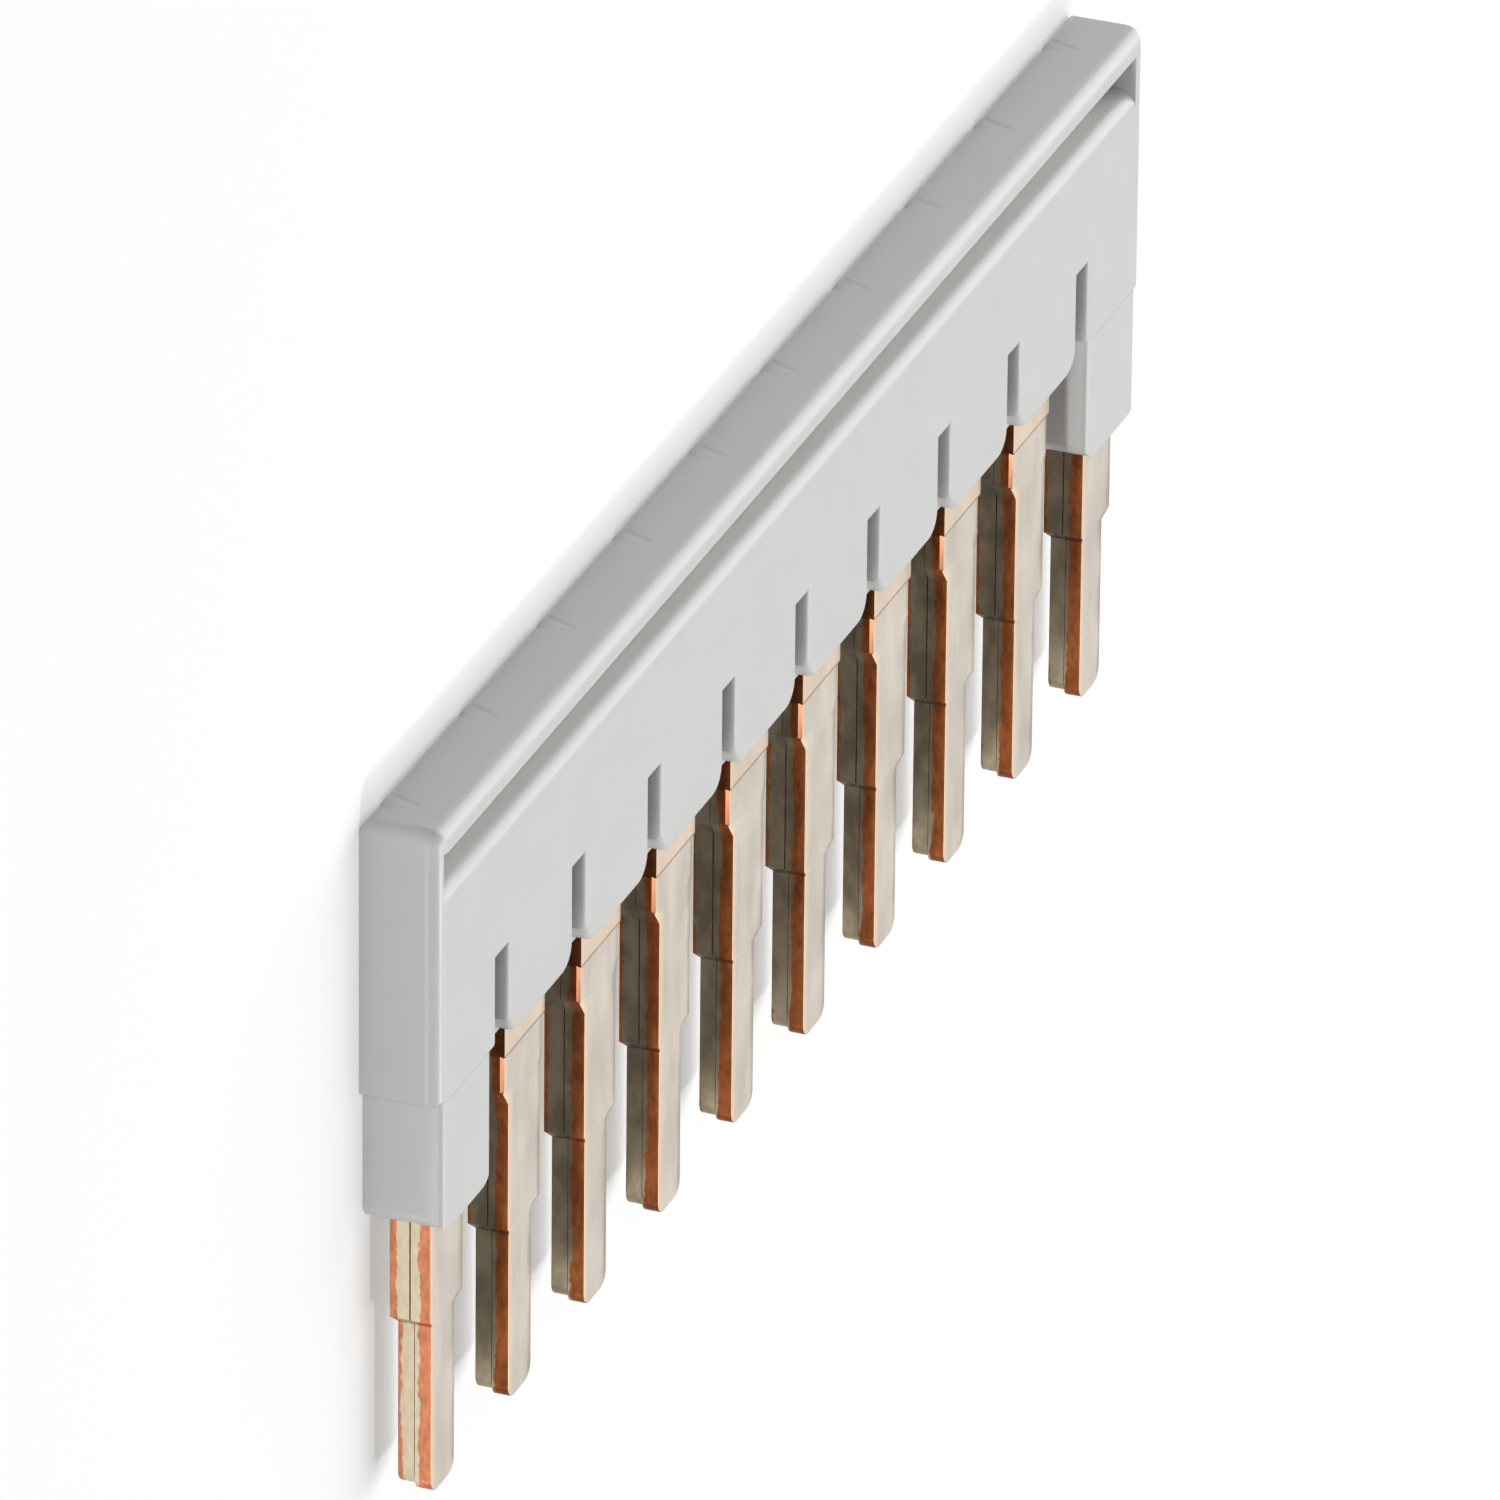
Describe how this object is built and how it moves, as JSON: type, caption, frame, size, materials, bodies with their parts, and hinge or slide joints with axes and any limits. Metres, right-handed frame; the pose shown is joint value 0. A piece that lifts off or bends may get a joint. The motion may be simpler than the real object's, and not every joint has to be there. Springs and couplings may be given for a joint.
{
  "type": "terminal jumper",
  "caption": "Plug-in jumper for rail terminals: a slim moulded bar with a grip groove, slotted front and end feet, holding paired stamped contact combs with a row of prongs",
  "frame": {"origin": "centre of the bounding box in X and Y, on the flat back face", "axes": "+X along the row of prongs, +Y from the prong tips to the rim that is pressed, +Z out of the slotted front"},
  "size_m": [0.06, 0.0228, 0.0026],
  "materials": {
    "housing_plastic": "matte",
    "contact_metal": "satin tin plating"
  },
  "bodies": {
    "root": {"housing": "housing_plastic", "front_contact_comb": "contact_metal", "back_contact_comb": "contact_metal"}
  },
  "joints": []
}
